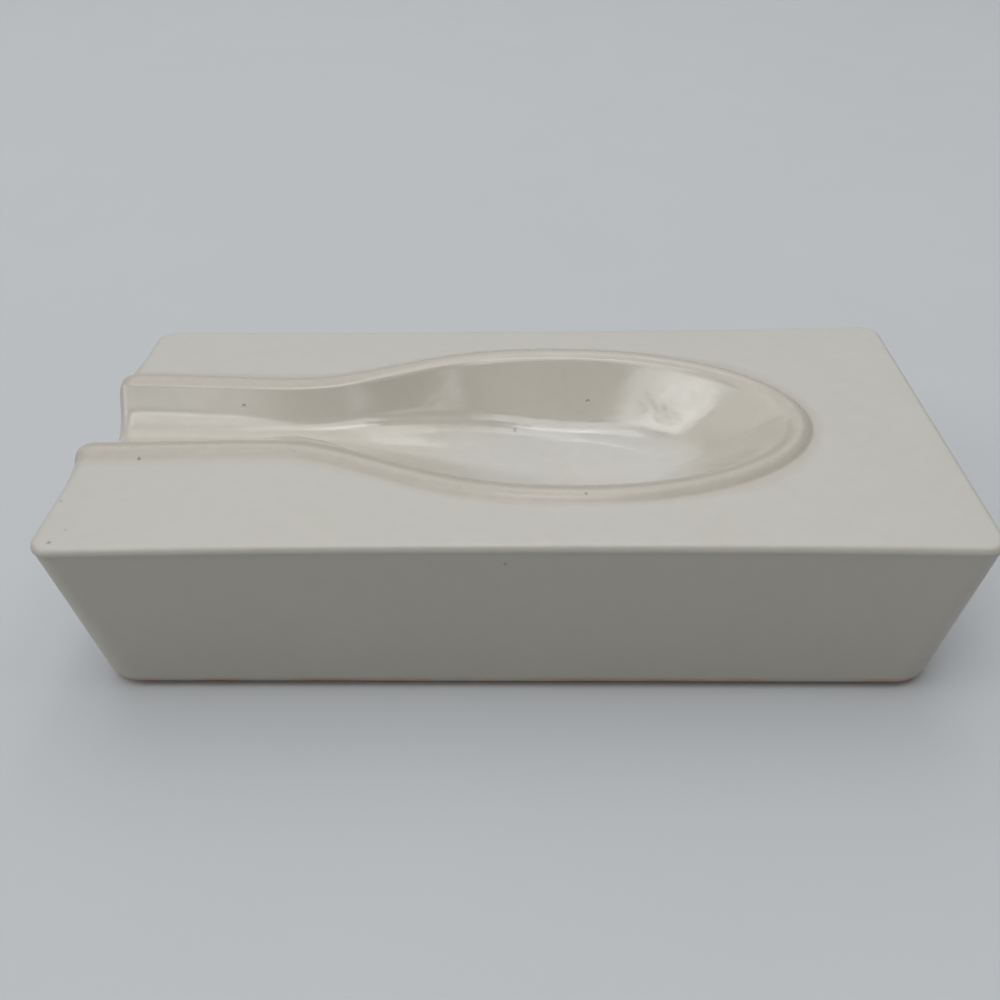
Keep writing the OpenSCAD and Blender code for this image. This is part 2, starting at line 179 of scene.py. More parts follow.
def top_sizes(skin):
    return HALF_L - skin, HALF_W - skin, max(PLATE_CORNER_R - skin, LEAST_R), SIDE_BOW


# Grid over the top of the block. The plate's rows lie between a place past the rim's outer foot
# and one short of the rounded edge, given as shares of the rim's width and the edge's radius.
PAST_RIM_SHARE, PAST_EDGE_SHARE = 1.05, 1.1


class Grid:
    """Columns of points from the recess's middle line out to the edge, in order round the top."""

    def __init__(self, arc, channel, bowl, end, wall, rim_in, rim_out, plate, edge):
        def steps(side, first, last, count):
            return [(side, mix(first, last, i / count)) for i in range(count)]

        near = steps(0, 0, 1, arc) + steps(1, 0, 0.5, channel)
        tip = (steps(1, 0.5, 1, bowl) + steps(2, 0, 1, arc) + steps(3, 0, 1, end) + steps(4, 0, 1, arc)
               + steps(5, 0, 0.5, bowl))
        far = steps(5, 0.5, 1, channel) + steps(6, 0, 1, arc) + [(6, 1.0)]
        places = near + tip + far
        self.side = np.array([side for side, _ in places])
        self.share = np.array([share for _, share in places], float)
        self.columns, self.near = len(places), len(near)
        column = np.arange(self.columns)
        self.is_tip = (column >= self.near) & (column <= self.near + len(tip))
        self.sign = np.where(column < self.near, -1.0, 1.0)
        self.rows = ([("wall", s) for s in wall] + [("rim", -RIM_INNER_W * s) for s in rim_in]
                     + [("rim", RIM_OUTER_W * s) for s in rim_out] + [("plate", s) for s in plate]
                     + [("edge", EDGE_ROUND * s) for s in edge])
        self.foot_row = len(wall) + len(rim_in) + len(rim_out)
        self.last_row = len(self.rows)
        last = self.columns - 1
        self.spine = np.where(column <= self.near, column, np.where(self.is_tip, self.near, last - column))
        # The border runs round the edge, then across the open mouth from the far side to the near side
        self.border = ([(k, self.last_row) for k in range(self.columns)]
                       + [(last, self.last_row - k) for k in range(1, self.last_row + 1)]
                       + [(0, k) for k in range(1, self.last_row)])

    def index(self, column, row):
        return np.where(row == 0, self.spine[column], self.near + column * self.last_row + row)

    def count(self):
        return self.near + 1 + self.columns * self.last_row

    def crest(self, qx, qy):
        """Top of the rim and the way out from it, for the outline's point of each column."""
        turn = np.arctan2(qy / BOWL_HALF_W, (qx - BOWL_X) / BOWL_REACH)
        tip = np.stack([BOWL_X + BOWL_REACH * np.cos(turn), BOWL_HALF_W * np.sin(turn)])
        tip_out = np.stack([np.cos(turn) / BOWL_REACH, np.sin(turn) / BOWL_HALF_W])
        half = rim_half(qx)
        slope = (rim_half(qx + SLOPE_STEP) - rim_half(qx - SLOPE_STEP)) / (2 * SLOPE_STEP)
        side = np.stack([qx, self.sign * half])
        side_out = np.stack([-slope, self.sign])
        out = np.where(self.is_tip, tip_out, side_out)
        return np.where(self.is_tip, tip, side), out / np.linalg.norm(out, axis=0)

    def row(self, kind, value, qx, qy, sizes):
        """Plan place and height over the plate, for one row of every column."""
        crest, out = self.crest(qx, qy)
        if kind == "wall":
            foot = crest - RIM_INNER_W * out
            start = np.stack([np.where(self.is_tip, BOWL_X, qx), np.where(self.is_tip, 0, floor_y(qx))])
            p = mix(start, foot, value)
            return p[0], p[1] + mid_y(p[0]), wall_z(p[0], np.full_like(qx, value), crest[1] > 0)
        if kind == "rim":
            p = crest + value * out
            return p[0], p[1] + mid_y(p[0]), rim_z(np.full_like(qx, value))
        if kind == "edge":
            a, b, r, bow = sizes
            tx, ty = outline(self.side, self.share, a - value, b - value, max(r - value, LEAST_R), bow)
            x, y = np.where(self.is_tip, tx, qx), np.where(self.is_tip, ty, qy - np.sign(qy) * value)
            return x, y, 0 * qx
        fx, fy, _ = self.row("rim", RIM_OUTER_W * PAST_RIM_SHARE, qx, qy, sizes)
        ex, ey, _ = self.row("edge", EDGE_ROUND * PAST_EDGE_SHARE, qx, qy, sizes)
        return mix(fx, ex, value), mix(fy, ey, value), 0 * qx

    def top(self, skin):
        """Points [row, column, xyz] of the top, and the lip's share at each."""
        sizes = top_sizes(skin)
        qx, qy = outline(self.side, self.share, *sizes)
        points, lips = [], []
        for kind, value in [("wall", 0.0)] + self.rows:
            x, y, h = self.row(kind, value, qx, qy, sizes)
            lip = lip_share(x, y)
            near_round = mix(EDGE_ROUND, MOUTH_ROUND, lip * (x < 0))
            z = PLATE_H + h - edge_drop(inset_of(x, y, *sizes), near_round) - skin
            near_end = 1 - ease((x + sizes[0]) / LIP_DOWN)
            points.append(np.stack([x + near_end * (lean(z) - LIP_OUT * lip), y, z], 1))
            lips.append(lip)
        return np.array(points), np.array(lips)

    def top_list(self, points):
        spine = points[0, :self.near + 1]
        return np.concatenate([spine, points[1:].transpose(1, 0, 2).reshape(-1, 3)])

    def border_arrays(self):
        return tuple(np.array(self.border).T)

    def border_xy(self, top, skin, z, floor, inset=0.0):
        """Plan places of the border's points at these heights, drawn in by an inset."""
        column, row = self.border_arrays()
        a, b, corner_r, bow = sizes_at(skin, z, floor)
        _, top_b, top_r, _ = top_sizes(skin)
        r = np.maximum(corner_r - inset, LEAST_R)
        ox, oy = outline(self.side[column], self.share[column], a - inset, b - inset, r, bow)
        y = top[row, column, 1] * (b - inset - r) / (top_b - top_r)
        on_edge = row == self.last_row
        return np.where(on_edge, ox, inset - a), np.where(on_edge, oy, y)

    def lip_ring(self, top, lips, skin, share):
        """The border, a share of the way down the lip that hangs over the open mouth."""
        column, row = self.border_arrays()
        z = top[row, column, 2] - LIP_DOWN * share
        x, y = self.border_xy(top, skin, z, -BASE_ROUND)
        lip = np.where(row == self.last_row, 0, lips[row, column])
        return np.stack([x - LIP_OUT * lip * (1 - ease(share)), y, z], 1)

    def wall_ring(self, top, skin, share, z_end):
        """The border, a share of the way from the lip's lower end to a height."""
        column, row = self.border_arrays()
        z = mix(top[row, column, 2] - LIP_DOWN, z_end, share)
        x, y = self.border_xy(top, skin, z, 0.0)
        return np.stack([x, y, z], 1)

    def level_ring(self, top, skin, z, floor=0.0, inset=0.0):
        """The border at one height, at or under the top of the rounded base."""
        x, y = self.border_xy(top, skin, np.full(len(self.border), min(z, floor + BASE_ROUND)), floor, inset)
        return np.stack([x, y, np.full(len(x), z)], 1)

    def top_faces(self):
        column, row = np.meshgrid(np.arange(self.columns - 1), np.arange(self.last_row), indexing="ij")
        column, row = column.ravel(), row.ravel()
        corners = [(column, row), (column, row + 1), (column + 1, row + 1), (column + 1, row)]
        return np.stack([self.index(*corner) for corner in corners], 1)

    def ring_faces(self, levels):
        size = len(self.border)
        rings = [self.count() + k * size + np.arange(size) for k in range(levels)]
        start = np.concatenate([self.index(*self.border_arrays())] + rings)
        return start[quads_between(levels, size)]

    def spread(self, on_spine, by_row, levels, fade_rings):
        """A value at each point: one on the middle line, one for each row, fading down the first rings."""
        on_top = np.concatenate([np.full(self.near + 1, on_spine), np.tile(by_row, self.columns)])
        at_border = on_top[self.index(*self.border_arrays())]
        rings = [at_border * max(0, 1 - k / fade_rings) for k in range(levels)]
        return np.concatenate([on_top] + rings)


def quads_between(levels, size):
    """Faces between rings of this many points that follow each other in one list."""
    k, i = np.meshgrid(np.arange(levels), np.arange(size), indexing="ij")
    k, i = k.ravel(), i.ravel()
    after = (i + 1) % size
    return np.stack([k * size + i, (k + 1) * size + i, (k + 1) * size + after, k * size + after], 1)


FINE = Grid(
    arc=12, channel=64, bowl=44, end=40,
    wall=[i / 34 for i in range(1, 35)],
    rim_in=[0.85, 0.7, 0.55, 0.4, 0.26, 0.12, 0],
    rim_out=[0.1, 0.2, 0.3, 0.4, 0.5, 0.6, 0.7, 0.8, 0.9, PAST_RIM_SHARE],
    plate=[0.1, 0.2, 0.32, 0.46, 0.62, 0.8],
    edge=[PAST_EDGE_SHARE, 0.8, 0.6, 0.45, 0.32, 0.2, 0.12, 0.06, 0.02, 0])
HOLLOW = Grid(
    arc=4, channel=20, bowl=16, end=12,
    wall=[0.2, 0.36, 0.5, 0.65, 0.8, 1],
    rim_in=[0.5, 0],
    rim_out=[0.4, PAST_RIM_SHARE],
    plate=[0.35],
    edge=[PAST_EDGE_SHARE, 0.4, 0])

# Places of the rings below the top, as shares of the lip's reach, of the wall and of the rounded base
LIP_SHARES = [0.08, 0.18, 0.3, 0.45, 0.6, 0.8, 1.0]
WALL_SHARES = [i / 14 for i in range(1, 15)]
BASE_SHARES = [0.8, 0.62, 0.48, 0.35]
CLAY_BASE_SHARES = [1, 0.75, 0.5, 0.36, 0.24, 0.14, 0.06, 0.015, 0]
HOLLOW_LIP_SHARES = [0.5, 1.0]
HOLLOW_BASE_SHARES = [1, 0.5, 0.2, 0.04, 0]
# The glaze's rolled end: depth under its face, then rise over the dry foot as a share of the base's rounding
ROLLED_END = [(0.03, 0.16), (0.12, 0.07), (0.25, 0.02), (GLAZE_T + 0.02, 0.0)]
# The foot ring and the step up to the panel inside it: inset from the side, then height
FOOT_STEPS = [
    (3.0, 0.0), (6.0, 0.0), (FOOT_RING_W - 0.4, 0.0), (FOOT_RING_W, 0.06),
    (FOOT_RING_W + 0.7 * FOOT_HOLLOW, 0.8 * FOOT_HOLLOW), (FOOT_RING_W + 1.6 * FOOT_HOLLOW, FOOT_HOLLOW)]
# The panel's rings as shares of the way to the pour hole's rounding, and the scale of that rounding's start
PANEL_SHARES, HOLE_START_SCALE = [0.3, 0.6, 0.85], 1.12
# The pour hole: width as a scale of its diameter, then height
HOLE_STEPS = [
    (1.08, FOOT_HOLLOW), (1.02, FOOT_HOLLOW + 0.15), (1.0, FOOT_HOLLOW + 0.6), (1.0, 3.0),
    (1.0, WALL_T - 0.5), (1.03, WALL_T)]


def level_at(xy, z):
    return np.concatenate([xy, np.full((len(xy), 1), z)], 1)


def hole_round(ring):
    """The pour hole's circle, with a point for each point of a ring round it."""
    turn = np.arctan2(ring[:, 1], ring[:, 0])
    return np.stack([np.cos(turn), np.sin(turn)], 1) * POUR_HOLE_D / 2


def glaze_points():
    """The glaze's outer face: the top, the lip's reach, the walls and the rolled end above the table."""
    top, lips = FINE.top(0.0)
    rings = [FINE.lip_ring(top, lips, 0.0, s) for s in LIP_SHARES]
    rings += [FINE.wall_ring(top, 0.0, s, BASE_ROUND) for s in WALL_SHARES]
    rings += [FINE.level_ring(top, 0.0, mix(DRY_FOOT_H, BASE_ROUND, s)) for s in BASE_SHARES]
    for skin, up in ROLLED_END:
        rings.append(FINE.level_ring(FINE.top(skin)[0], skin, DRY_FOOT_H + up * BASE_ROUND))
    return np.concatenate([FINE.top_list(top)] + rings), len(rings)


def clay_rings():
    """The clay's outer face, from under the glaze round the foot ring and up the pour hole."""
    top, _ = FINE.top(GLAZE_T)
    rings = [FINE.level_ring(top, GLAZE_T, BASE_ROUND * s) for s in CLAY_BASE_SHARES]
    for inset, z in FOOT_STEPS:
        rings.append(level_at(FINE.level_ring(top, GLAZE_T, 0.0, 0.0, inset)[:, :2], z))
    panel = rings[-1]
    hole = hole_round(panel)
    rings += [level_at(mix(panel[:, :2], hole * HOLE_START_SCALE, s), FOOT_HOLLOW) for s in PANEL_SHARES]
    return rings + [level_at(hole * scale, z) for scale, z in HOLE_STEPS]


def hollow_points():
    """The casting hollow's face, seen only through the pour hole."""
    skin = GLAZE_T + WALL_T
    top, lips = HOLLOW.top(skin)
    rings = [HOLLOW.lip_ring(top, lips, skin, s) for s in HOLLOW_LIP_SHARES]
    rings += [HOLLOW.level_ring(top, skin, WALL_T + BASE_ROUND * s, WALL_T) for s in HOLLOW_BASE_SHARES]
    last_scale, last_z = HOLE_STEPS[-1]
    rings.append(level_at(hole_round(rings[-1]) * last_scale, last_z))
    return np.concatenate([HOLLOW.top_list(top)] + rings), len(rings)


# Meshes
WAVES, WAVE_SPREAD = 7, (0.7, 1.5)
# Slow unevenness of the glaze: half the depth, seed and size of each swell, and where they start and how fast
SWELLS = [(0.05, 3, 38), (0.025, 4, 14)]
SWELL_FROM_Z, SWELL_RUN = 4, 10
# Shares of gloss and of thin glaze with painted shade for the rows up to the rim's outer foot, and rings down
# which they fade
RIM_GLOSS_SHARES = [
    0.97, 0.92, 0.86, 0.8, 0.74, 0.68, 0.62, 0.56, 0.5, 0.44, 0.38, 0.32, 0.26, 0.2, 0.13, 0.07, 0.02]
RIM_THIN_AND_SHADE_SHARES = [
    0.5, 0.8, 0.95, 1.0, 1.0, 0.95, 0.85, 0.75, 0.75, 0.8, 0.9, 0.95, 1.0, 1.0, 1.0, 1.0, 0.7]
GLOSS_FADE_RINGS, THIN_AND_SHADE_FADE_RINGS = 8, 6
CHANNEL_GLOSS_SHARE, CHANNEL_GLOSS_X, CHANNEL_GLOSS_RUN = 0.7, -72.0, 30.0
# Thin glaze and painted dark reflection along the plate's edge: greatest share, band's inset and width, slack
# under the edge
EDGE_THIN_AND_REFLECTION_SHARE, EDGE_THIN_AND_REFLECTION_INSET, EDGE_THIN_AND_REFLECTION_WIDTH, EDGE_THIN_AND_REFLECTION_SLACK = 0.7, 0.6, 0.5, 0.1


def mesh_object(name, points, faces, attributes=None):
    """A smooth-shaded piece in metres, without unused points. Flat slivers lose a corner."""
    used = np.unique(faces)
    place = np.full(len(points), -1)
    place[used] = np.arange(len(used))
    corners = [list(dict.fromkeys(place[face])) for face in faces]
    mesh = bpy.data.meshes.new(name)
    metres = (points[used] + [MID_SHIFT, 0, 0]) * MM
    mesh.from_pydata(metres.tolist(), [], [face for face in corners if len(face) > 2])
    mesh.shade_smooth()
    for key, values in (attributes or {}).items():
        layer = mesh.attributes.new(key, "FLOAT", "POINT")
        layer.data.foreach_set("value", values[used].astype(np.float32))
    mesh.validate()
    piece = bpy.data.objects.new(name, mesh)
    bpy.context.scene.collection.objects.link(piece)
    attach(piece, "root")
    return piece


def vertex_normals(points, faces):
    a, b, c, d = (points[faces[:, k]] for k in range(4))
    normal = np.cross(c - a, d - b)
    total = np.zeros_like(points)
    for k in range(4):
        np.add.at(total, faces[:, k], normal)
    return total / np.maximum(np.linalg.norm(total, axis=1, keepdims=True), 1e-12)


def smooth_noise(p, seed, size):
    """Sum of a few sine waves of the plan and height: a slow, uneven swell from -1 to 1."""
    rng = np.random.default_rng(seed)
    total = np.zeros(len(p))
    for _ in range(WAVES):
        wave = rng.normal(size=3)
        wave *= 2 * math.pi / (size * rng.uniform(*WAVE_SPREAD)) / np.linalg.norm(wave)
        total += np.sin(p @ wave + rng.uniform(0, 2 * math.pi))
    return total / WAVES


def swollen(points, faces):
    """The glaze's points moved in along their normals by the slow unevenness, and not at its lower end."""
    swell = sum(depth * (smooth_noise(points, seed, size) - 1) for depth, seed, size in SWELLS)
    swell *= np.clip((points[:, 2] - SWELL_FROM_Z) / SWELL_RUN, 0, 1)
    return points + vertex_normals(points, faces) * swell[:, None]


def rim_rows(inside, shares):
    """A value for each row: one inside the rim, shares up to the rim's outer foot, and 0 past it."""
    before, after = FINE.foot_row - len(shares), FINE.last_row - FINE.foot_row
    return np.array([inside] * before + shares + [0.0] * after)


def glaze_attributes(points, levels):
    """How glossy and how thin the glaze is at each point, with painted shade and a painted dark reflection in
    the thin share.
    """
    gloss = FINE.spread(1.0, rim_rows(1.0, RIM_GLOSS_SHARES), levels, GLOSS_FADE_RINGS)
    # The channel is glossy, though less than the bowl
    gloss *= mix(CHANNEL_GLOSS_SHARE, 1.0, ease((points[:, 0] - CHANNEL_GLOSS_X) / CHANNEL_GLOSS_RUN))
    # The glaze is thin on the rim, most on its two slopes, and along the plate's edge, and both bands also
    # hold painted shade
    inset = inset_of(points[:, 0], points[:, 1], *top_sizes(0.0))
    # Along the plate's edge the band is partly a painted dark reflection on the rounded edge
    edge = EDGE_THIN_AND_REFLECTION_SHARE * np.exp(-((inset - EDGE_THIN_AND_REFLECTION_INSET) / EDGE_THIN_AND_REFLECTION_WIDTH) ** 2)
    edge *= (points[:, 2] > PLATE_H - EDGE_ROUND - EDGE_THIN_AND_REFLECTION_SLACK) * (1 - gloss)
    # On the rim this share is partly painted shade, down its slopes and in the crease at its foot
    rim = FINE.spread(0.0, rim_rows(0.0, RIM_THIN_AND_SHADE_SHARES), levels, THIN_AND_SHADE_FADE_RINGS)
    return {"gloss": gloss, "thin": np.maximum(edge, rim)}


def build_glaze():
    points, levels = glaze_points()
    top_faces = FINE.top_faces()
    faces = np.concatenate([top_faces, FINE.ring_faces(levels)])
    points = swollen(points, faces)
    # Both pieces take their normals from the whole coat, so no seam shows between them
    normals = vertex_normals(points, faces)
    attributes = glaze_attributes(points, levels)
    in_recess = np.tile(np.arange(FINE.last_row), FINE.columns - 1) < FINE.foot_row
    recess = top_faces[in_recess]
    outside = np.concatenate([top_faces[~in_recess], faces[len(top_faces):]])
    made = []
    parts = ((recess, "recess_gloss", "gloss_glaze"), (outside, "outer_satin", "satin_glaze"))
    for part, name, slot in parts:
        piece = mesh_object(name, points, part, attributes)
        piece.data.normals_split_custom_set_from_vertices(normals[np.unique(part)].tolist())
        made.append(piece)
    return made


def build_clay():
    rings = clay_rings()
    outer = np.concatenate(rings)
    outer_faces = quads_between(len(rings) - 1, len(FINE.border))
    inner, levels = hollow_points()
    inner_faces = np.concatenate([HOLLOW.top_faces(), HOLLOW.ring_faces(levels)])[:, ::-1]
    faces = np.concatenate([outer_faces, inner_faces + len(outer)])
    return mesh_object("clay_shell", np.concatenate([outer, inner]), faces)


# Materials, with colours in linear light. Sizes, heights and depths of textures are in millimetres.
GLAZE_IOR = 1.6
IVORY, SIDE_IVORY, CLOUD = (0.432, 0.425, 0.389), (0.424, 0.4, 0.349), (0.428, 0.416, 0.367)
CREAM, DEEP_CREAM, POOLED = (0.442, 0.42, 0.362), (0.438, 0.43, 0.402), (0.419, 0.396, 0.329)
# Colour of thin glaze, also used as painted shade on the rim and a painted dark reflection along the plate's
# edge
THIN_GLAZE_AND_SHADE = (0.35, 0.318, 0.265)
SPECK, FOOT_TINT = (0.16, 0.12, 0.08), (0.36, 0.17, 0.09)
CLAY, PALE_CLAY, GRIT = (0.52, 0.235, 0.115), (0.62, 0.31, 0.165), (0.33, 0.14, 0.07)
# Heights between which the colour turns from the lower one to the upper one
RECESS_BLEND_Z, SIDE_BLEND_Z = (30.5, 36.5), (42.5, 46.3)
CLOUD_SIZE, CLOUD_SHARE = 26, 0.45
MOTTLE_SIZE, MOTTLE_SHARE = 3.2, 0.16
# Least and most share of the thin glaze's colour, with its painted shade, where the thin share is full
THIN_AND_SHADE_LEAST_SHARE, THIN_AND_SHADE_MOST_SHARE = 0.55, 0.78
# Specks lie in cells of this size, in the cells whose random number is high, out to a share of the cell
SPECK_CELL, SPECK_SHARE = 9, 0.55
SPECK_PICK_SHARES, SPECK_REACH_SHARES = (0.86, 0.88), (0.018, 0.04)
# The clay shows through in places at the glaze's lower end
FOOT_TINT_Z, FOOT_TINT_SHARE = (2.0, 4.2), 0.85
FOOT_PATCH_SIZE, FOOT_PATCH_SHARES = 17, (0.15, 1.0)
SATIN_ROUGH, GLOSS_ROUGH = 0.36, 0.12
ROUGH_SIZE, ROUGH_CHANGE = 7, (-0.03, 0.05)
# Bumps: size, then depth
ORANGE_PEEL, FINE_GRAIN = (9, 0.10), (1.4, 0.012)
SPECK_DEPTH, PIT_DEPTH = 0.15, 0.3
CLAY_SWELL, CLAY_GRAIN = (4, 0.08), (0.35, 0.06)
CLAY_TONE_SIZE, CLAY_ROUGH_SIZE, CLAY_ROUGH = 6, 3, (0.78, 0.95)
GRIT_SIZE, GRIT_SHARE = 0.5, 0.5
FLOOR_SWELL, FLOOR_GRAIN, FLOOR_ROUGH, FLOOR_DARKER_SCALE = 160, 40, (0.9, 0.98), 0.985
# Pinholes and specks of the glaze: centre and radius, then shares of darkness and depth
MARKS = [
    ((21.4, 23.2, 38.3), 0.42, 0.15, 1.0),
    ((-70.9, 13.3, 43.3), 0.4, 0.08, 0.8),
    ((1.3, 16.9, 33.0), 0.36, 0.1, 0.8),
    ((-89.1, -16.6, 46.7), 0.42, 1.0, 0.3),
    ((-98.7, -48.6, 46.5), 0.42, 0.7, 0.3),
    ((-96.7, -44.3, 46.5), 0.3, 0.3, 0.3),
    ((-101.8, -33.5, 46.5), 0.28, 0.6, 0.2),
    ((57.5, -12.0, 44.5), 0.36, 0.1, 0.8)]


def colour_socket(sockets, name=None):
    """The colour socket of a Mix node, which has others under the same name."""
    return next(s for s in sockets if s.type == "RGBA" and name in (None, s.name))


class Nodes:
    """Short names for the few node kinds that the materials use."""

    def __init__(self, name):
        self.material = bpy.data.materials.new(name)
        self.material.use_nodes = True
        self.tree = self.material.node_tree
        self.shader = self.tree.nodes["Principled BSDF"]
        scale = self.new("ShaderNodeVectorMath")
        scale.operation = "SCALE"
        scale.inputs["Scale"].default_value = 1 / MM
        self.link(self.new("ShaderNodeTexCoord").outputs["Object"], scale.inputs[0])
        self.mm = scale.outputs[0]
        parts = self.new("ShaderNodeSeparateXYZ")
        self.link(self.mm, parts.inputs[0])
        self.height = parts.outputs["Z"]

    def new(self, kind):
        return self.tree.nodes.new(kind)

    def link(self, a, b):
        self.tree.links.new(a, b)

    def noise(self, size, detail=2.0, rough=0.5):
        node = self.new("ShaderNodeTexNoise")
        node.inputs["Scale"].default_value = 1 / size
        node.inputs["Detail"].default_value = detail
        node.inputs["Roughness"].default_value = rough
        self.link(self.mm, node.inputs["Vector"])
        return node.outputs["Fac"]

    def cells(self, size):
        """Distance to the middle of the nearest cell, and that cell's random number."""
        node = self.new("ShaderNodeTexVoronoi")
        node.inputs["Scale"].default_value = 1 / size
        self.link(self.mm, node.inputs["Vector"])
        pick = self.new("ShaderNodeSeparateColor")
        self.link(node.outputs["Color"], pick.inputs[0])
        return node.outputs["Distance"], pick.outputs[0]

    def ranged(self, value, a, b, c=0.0, d=1.0, smooth=False):
        """A value from a to b turned into one from c to d, and held there outside them."""
        node = self.new("ShaderNodeMapRange")
        node.interpolation_type = "SMOOTHSTEP" if smooth else "LINEAR"
        self.link(value, node.inputs["Value"])
        for key, v in zip(("From Min", "From Max", "To Min", "To Max"), (a, b, c, d)):
            node.inputs[key].default_value = v
        return node.outputs["Result"]

    def math(self, kind, a, b):
        node = self.new("ShaderNodeMath")
        node.operation = kind
        for socket, v in zip(node.inputs, (a, b)):
            if isinstance(v, (int, float)):
                socket.default_value = v
            else:
                self.link(v, socket)
        return node.outputs[0]

    def blend(self, share, a, b):
        node = self.new("ShaderNodeMix")
        node.data_type = "RGBA"
        self.link(share, node.inputs["Factor"])
        for key, v in (("A", a), ("B", b)):
            socket = colour_socket(node.inputs, key)
            if isinstance(v, tuple):
                socket.default_value = (*v, 1)
            else:
                self.link(v, socket)
        return colour_socket(node.outputs)

    def attribute(self, name):
        node = self.new("ShaderNodeAttribute")
        node.attribute_name = name
        return node.outputs["Fac"]

    def spot(self, centre, radius, soft):
        """1 within a radius of a point and 0 outside it, with a soft edge."""
        node = self.new("ShaderNodeVectorMath")
        node.operation = "DISTANCE"
        self.link(self.mm, node.inputs[0])
        node.inputs[1].default_value = centre
        return self.ranged(node.outputs["Value"], radius, radius + soft, 1.0, 0.0, smooth=True)

    def marks(self, places):
        """Shares of colour and of depth for marks given as (centre, radius, dark, deep)."""
        dark, deep = 0.0, 0.0
        for centre, radius, dark_share, deep_share in places:
            spot = self.spot(centre, radius * 0.5, radius)
            dark = self.math("MAXIMUM", dark, self.math("MULTIPLY", spot, dark_share))
            deep = self.math("MAXIMUM", deep, self.math("MULTIPLY", spot, deep_share))
        return dark, deep

    def bump(self, layers):
        """Layers of (height, depth), the first at the bottom."""
        normal = None
        for height, depth in layers:
            node = self.new("ShaderNodeBump")
            node.inputs["Distance"].default_value = depth * MM
            self.link(height, node.inputs["Height"])
            if normal:
                self.link(normal, node.inputs["Normal"])
            normal = node.outputs["Normal"]
        self.link(normal, self.shader.inputs["Normal"])


def glaze_colour(nodes, colour, low, low_z, pooled, speck, pin_marks):
    """Cloudy, mottled ivory, darker where it is thin and where shade is painted, with specks, marks and a
    tint at the foot.
    """
    mottle = nodes.ranged(nodes.noise(MOTTLE_SIZE, 4, 0.6), 0.3, 0.75)
    cloud = nodes.ranged(nodes.noise(CLOUD_SIZE, 3), 0.35, 0.7)
    base = nodes.blend(nodes.ranged(nodes.height, *low_z, smooth=True), low, colour)
    base = nodes.blend(nodes.math("MULTIPLY", cloud, CLOUD_SHARE), base, pooled)
    base = nodes.blend(nodes.math("MULTIPLY", mottle, MOTTLE_SHARE), base, THIN_GLAZE_AND_SHADE)
    # Thin glaze, with painted shade on the rim and a painted dark reflection along the plate's edge
    uneven = nodes.ranged(mottle, 0, 1, THIN_AND_SHADE_LEAST_SHARE, THIN_AND_SHADE_MOST_SHARE)
    base = nodes.blend(nodes.math("MULTIPLY", nodes.attribute("thin"), uneven), base, THIN_GLAZE_AND_SHADE)
    base = nodes.blend(nodes.math("MULTIPLY", speck, SPECK_SHARE), base, SPECK)
    low_down = nodes.ranged(nodes.height, *FOOT_TINT_Z, FOOT_TINT_SHARE, 0.0)
    patches = nodes.ranged(nodes.noise(FOOT_PATCH_SIZE, 3), 0.42, 0.6, *FOOT_PATCH_SHARES)
    base = nodes.blend(nodes.math("MULTIPLY", low_down, patches), base, FOOT_TINT)
    return nodes.blend(pin_marks, base, SPECK)


def glaze_material(name, colour, low, low_z, pooled):
    """Glaze over red clay: satin outside and glossy where the gloss attribute says so."""
    nodes = Nodes(name)
    distance, pick = nodes.cells(SPECK_CELL)
    near = nodes.ranged(distance, *SPECK_REACH_SHARES, 1.0, 0.0, smooth=True)
    speck = nodes.math("MULTIPLY", near, nodes.ranged(pick, *SPECK_PICK_SHARES))
    dark, deep = nodes.marks(MARKS)
    base = glaze_colour(nodes, colour, low, low_z, pooled, speck, dark)
    nodes.link(base, nodes.shader.inputs["Base Color"])
    even = nodes.ranged(nodes.attribute("gloss"), 0, 1, SATIN_ROUGH, GLOSS_ROUGH)
    uneven = nodes.ranged(nodes.noise(ROUGH_SIZE, 3), 0.3, 0.7, *ROUGH_CHANGE)
    nodes.link(nodes.math("ADD", even, uneven), nodes.shader.inputs["Roughness"])
    nodes.shader.inputs["IOR"].default_value = GLAZE_IOR
    layers = [(nodes.noise(size, 2), depth) for size, depth in (ORANGE_PEEL, FINE_GRAIN)]
    for mark, depth in ((speck, SPECK_DEPTH), (deep, PIT_DEPTH)):
        layers.append((nodes.math("SUBTRACT", 1, mark), depth))
    nodes.bump(layers)
    return nodes.material


def clay_material():
    """Dry fired terracotta, fine grained, with darker grit."""
    nodes = Nodes("fired_terracotta")
    base = nodes.blend(nodes.ranged(nodes.noise(CLAY_TONE_SIZE, 4), 0.3, 0.7), CLAY, PALE_CLAY)
    grit = nodes.math("MULTIPLY", nodes.ranged(nodes.noise(GRIT_SIZE, 3), 0.5, 0.8), GRIT_SHARE)
    nodes.link(nodes.blend(grit, base, GRIT), nodes.shader.inputs["Base Color"])
    rough = nodes.ranged(nodes.noise(CLAY_ROUGH_SIZE, 3), 0.3, 0.7, *CLAY_ROUGH)
    nodes.link(rough, nodes.shader.inputs["Roughness"])
    (swell_size, swell_depth), (grain_size, grain_depth) = CLAY_SWELL, CLAY_GRAIN
    nodes.bump([(nodes.noise(swell_size, 3), swell_depth), (nodes.noise(grain_size, 3, 0.7), grain_depth)])
    return nodes.material


def floor_material(colour):
    """Plain pale floor, with hardly any change of tone."""
    nodes = Nodes("pale_floor")
    darker = tuple(c * FLOOR_DARKER_SCALE for c in colour)
    base = nodes.blend(nodes.ranged(nodes.noise(FLOOR_SWELL, 2), 0.3, 0.7), colour, darker)
    nodes.link(base, nodes.shader.inputs["Base Color"])
    rough = nodes.ranged(nodes.noise(FLOOR_GRAIN, 2), 0.3, 0.7, *FLOOR_ROUGH)
    nodes.link(rough, nodes.shader.inputs["Roughness"])
    return nodes.material


# Light, floor and camera. Lengths in the table of panels are in metres.
FLOOR, FLOOR_SIZE = (0.454, 0.474, 0.49), 12
WORLD_LIGHT, WORLD_SEEN = (0.14, 0.14, 0.145), (0.45, 0.465, 0.48)
CEILING_H = 2.6
